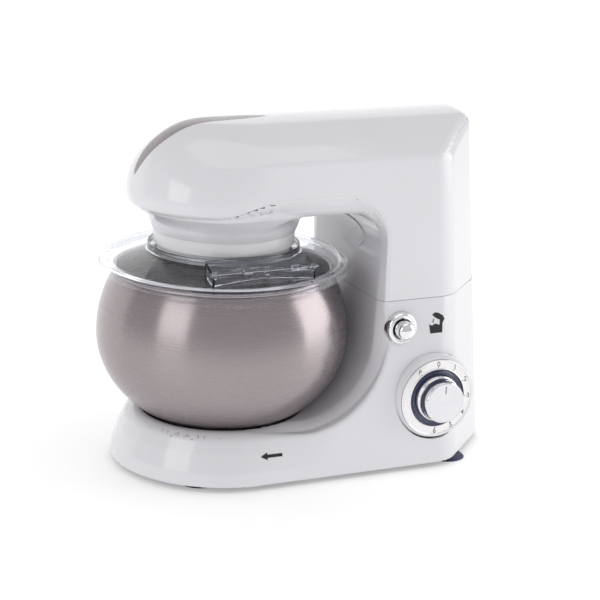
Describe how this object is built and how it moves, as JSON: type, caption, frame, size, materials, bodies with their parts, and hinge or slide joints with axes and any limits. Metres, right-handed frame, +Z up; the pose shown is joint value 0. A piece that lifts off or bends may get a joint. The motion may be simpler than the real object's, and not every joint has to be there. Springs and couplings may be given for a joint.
{
  "type": "stand mixer",
  "caption": "Tilt-head stand mixer: white moulded base and head, steel bowl that twists into its seat, clear splash guard with a flap, chrome speed dial and release button, planetary drive.",
  "frame": {"origin": "on the table, below the middle of the object's box", "axes": "+Z up, +X from the bowl end towards the column, -Y the side with the speed dial"},
  "size_m": [0.3756, 0.232, 0.321],
  "materials": {
    "white_gloss": "glossy",
    "white_ring": "glossy",
    "inlay": "satin metallic",
    "dark_plastic": "matte",
    "feet_rubber": "matte",
    "steel_part": "plain",
    "bowl_steel": "brushed",
    "chrome": "polished",
    "navy_ring": "glossy",
    "board_green": "matte",
    "clear": "clear plastic",
    "aluminium_cast": "cast",
    "iron_core": "laminated",
    "copper": "wound",
    "belt_rubber": "matte",
    "gear_plastic": "matte",
    "black_plastic": "matte",
    "bronze": "plain"
  },
  "bodies": {
    "base": {"base_housing": "white_gloss", "base_plate": "dark_plastic", "suction_feet": "feet_rubber", "bowl_seat": "dark_plastic", "seat_screws": "steel_part", "plate_screws": "steel_part", "hinge_bracket": "steel_part", "hinge_pin": "steel_part", "hinge_screws": "steel_part", "button_bezel": "chrome", "dial_bezel": "chrome", "dial_ring": "navy_ring", "speed_switch": "black_plastic", "control_board": "board_green", "tilt_switch": "black_plastic", "cord_gland": "black_plastic"},
    "button": {"release_button": "chrome", "latch_bar": "steel_part", "button_spring": "steel_part"},
    "knob": {"speed_knob": "chrome"},
    "bowl": {"bowl": "bowl_steel", "bowl_foot": "bowl_steel"},
    "head": {"head_cover": "white_gloss", "head_underside": "white_gloss", "head_inlay": "inlay", "badge_plate": "chrome", "neck_ring": "white_ring", "head_chassis": "aluminium_cast", "chassis_screws": "steel_part", "latch_striker": "steel_part", "gearbox_housing": "aluminium_cast", "ring_gear": "gear_plastic", "shaft_bearings": "bronze", "stator_core": "iron_core", "field_coils": "copper", "motor_top_bracket": "aluminium_cast", "motor_bottom_bracket": "aluminium_cast", "carbon_brushes": "black_plastic", "drive_belt": "belt_rubber", "wheel_axle": "steel_part"},
    "guard": {"splash_guard": "clear", "flap_rod": "clear"},
    "flap": {"filler_flap": "clear"},
    "armature": {"armature_core": "iron_core", "motor_shaft": "steel_part", "commutator": "copper", "cooling_fan": "black_plastic", "motor_pulley": "steel_part"},
    "belt_wheel": {"belt_wheel": "black_plastic", "pinion_gear": "gear_plastic"},
    "carrier": {"drive_gear": "gear_plastic", "carrier_shaft": "steel_part", "planet_carrier": "white_ring"},
    "planet": {"planet_gear": "gear_plastic", "beater_shaft": "steel_part", "drive_pin": "steel_part", "shaft_collar": "chrome"}
  },
  "joints": [
    {"name": "head_tilt", "type": "hinge", "parent": "base", "child": "head", "pos_m": [0.16573, 0, 0.172], "axis": [0, 1, 0], "range_deg": [0, 32]},
    {"name": "knob_turn", "type": "hinge", "parent": "base", "child": "knob", "pos_m": [0.1046, -0.1, 0.0678], "axis": [0, 1, 0], "range_deg": [-35, 180]},
    {"name": "button_press", "type": "slide", "parent": "base", "child": "button", "axis": [0, 1, 0], "range_m": [0, 0.006], "stiffness_N_per_m": 400, "springref_m": -0.004, "deforming": ["button_spring"]},
    {"name": "bowl_twist", "type": "hinge", "parent": "base", "child": "bowl", "pos_m": [-0.071, 0, 0.045], "axis": [0, 0, 1], "range_deg": [0, 40]},
    {"name": "guard_twist", "type": "hinge", "parent": "head", "child": "guard", "pos_m": [-0.071, 0, 0.2], "axis": [0, 0, -1], "range_deg": [0, 33]},
    {"name": "flap_swing", "type": "hinge", "parent": "guard", "child": "flap", "pos_m": [-0.071, -0.0885, 0.202], "axis": [1, 0, 0], "range_deg": [0, 100]},
    {"name": "carrier_spin", "type": "hinge", "parent": "head", "child": "carrier", "pos_m": [-0.071, 0, 0.24], "axis": [0, 0, 1], "continuous": true},
    {"name": "planet_spin", "type": "hinge", "parent": "carrier", "child": "planet", "pos_m": [-0.041, 0, 0.2], "axis": [0, 0, 1], "continuous": true},
    {"name": "wheel_spin", "type": "hinge", "parent": "head", "child": "belt_wheel", "pos_m": [-0.011, 0, 0.29], "axis": [0, 0, 1], "continuous": true},
    {"name": "armature_spin", "type": "hinge", "parent": "head", "child": "armature", "pos_m": [0.115, 0, 0.24], "axis": [0, 0, 1], "continuous": true}
  ],
  "couplings": [
    {"joint": "planet_spin", "follows": "carrier_spin", "ratio": -3.1429},
    {"joint": "wheel_spin", "follows": "carrier_spin", "ratio": -4.7143},
    {"joint": "armature_spin", "follows": "carrier_spin", "ratio": -23.571}
  ]
}
